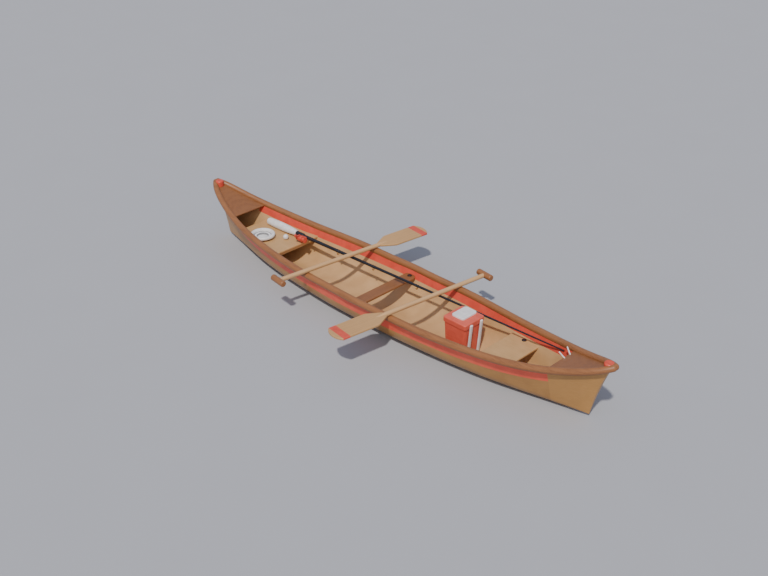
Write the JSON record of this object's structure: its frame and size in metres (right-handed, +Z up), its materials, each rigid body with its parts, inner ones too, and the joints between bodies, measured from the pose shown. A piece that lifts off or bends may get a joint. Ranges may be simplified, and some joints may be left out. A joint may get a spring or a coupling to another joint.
{
  "type": "fishing canoe",
  "caption": "Open two-ended fishing canoe with decks, seats, thwart, paddles, rod and reel, and a cooler box with a hinged lid.",
  "frame": {"origin": "on the floor under the middle of the hull's flat bottom, midway between the tips", "axes": "+X to the bow, +Y to port, +Z up"},
  "size_m": [4.896, 1.9577, 0.568],
  "materials": {
    "hull_shell": "satin",
    "rail_brown": "satin",
    "cap_red": "gloss",
    "seat_tan": "satin",
    "bolt_black": "satin",
    "paddle_tan": "satin",
    "grip_brown": "satin",
    "white_plastic": "gloss",
    "rod_black": "satin",
    "guide_metal": "polished",
    "reel_red": "gloss",
    "cooler_red": "satin",
    "pin_steel": "brushed"
  },
  "bodies": {
    "root": {"hull": "hull_shell", "bow_end": "hull_shell", "stern_end": "hull_shell", "gunwale_port": "rail_brown", "gunwale_starboard": "rail_brown", "bow_deck": "rail_brown", "stern_deck": "rail_brown", "bow_cap": "cap_red", "stern_cap": "cap_red", "thwart": "rail_brown", "thwart_bolts": "bolt_black", "bow_seat": "seat_tan", "stern_seat": "seat_tan", "seat_bolts": "bolt_black", "paddle_blade_port": "paddle_tan", "paddle_blade_starboard": "paddle_tan", "paddle_shaft_port": "paddle_tan", "paddle_shaft_starboard": "paddle_tan", "paddle_grip_port": "grip_brown", "paddle_grip_starboard": "grip_brown", "rod_grip": "white_plastic", "rod_collar": "rod_black", "rod_blank": "rod_black", "rod_guides": "guide_metal", "reel_body": "reel_red", "reel_spool": "reel_red", "reel_crank": "reel_red", "cooler_body": "cooler_red", "cooler_grips": "white_plastic", "cooler_hinge_pin": "pin_steel", "cooler_drain": "cooler_red", "bailing_bowl": "white_plastic", "float_ball": "white_plastic", "bow_pegs": "white_plastic"},
    "cooler_lid": {"cooler_lid": "cooler_red", "cooler_lid_pad": "white_plastic"}
  },
  "joints": [
    {"name": "cooler_lid_hinge", "type": "hinge", "parent": "root", "child": "cooler_lid", "pos_m": [0.7987, 0.012, 0.309], "axis": [0, -1, 0], "range_deg": [0, 100]}
  ]
}
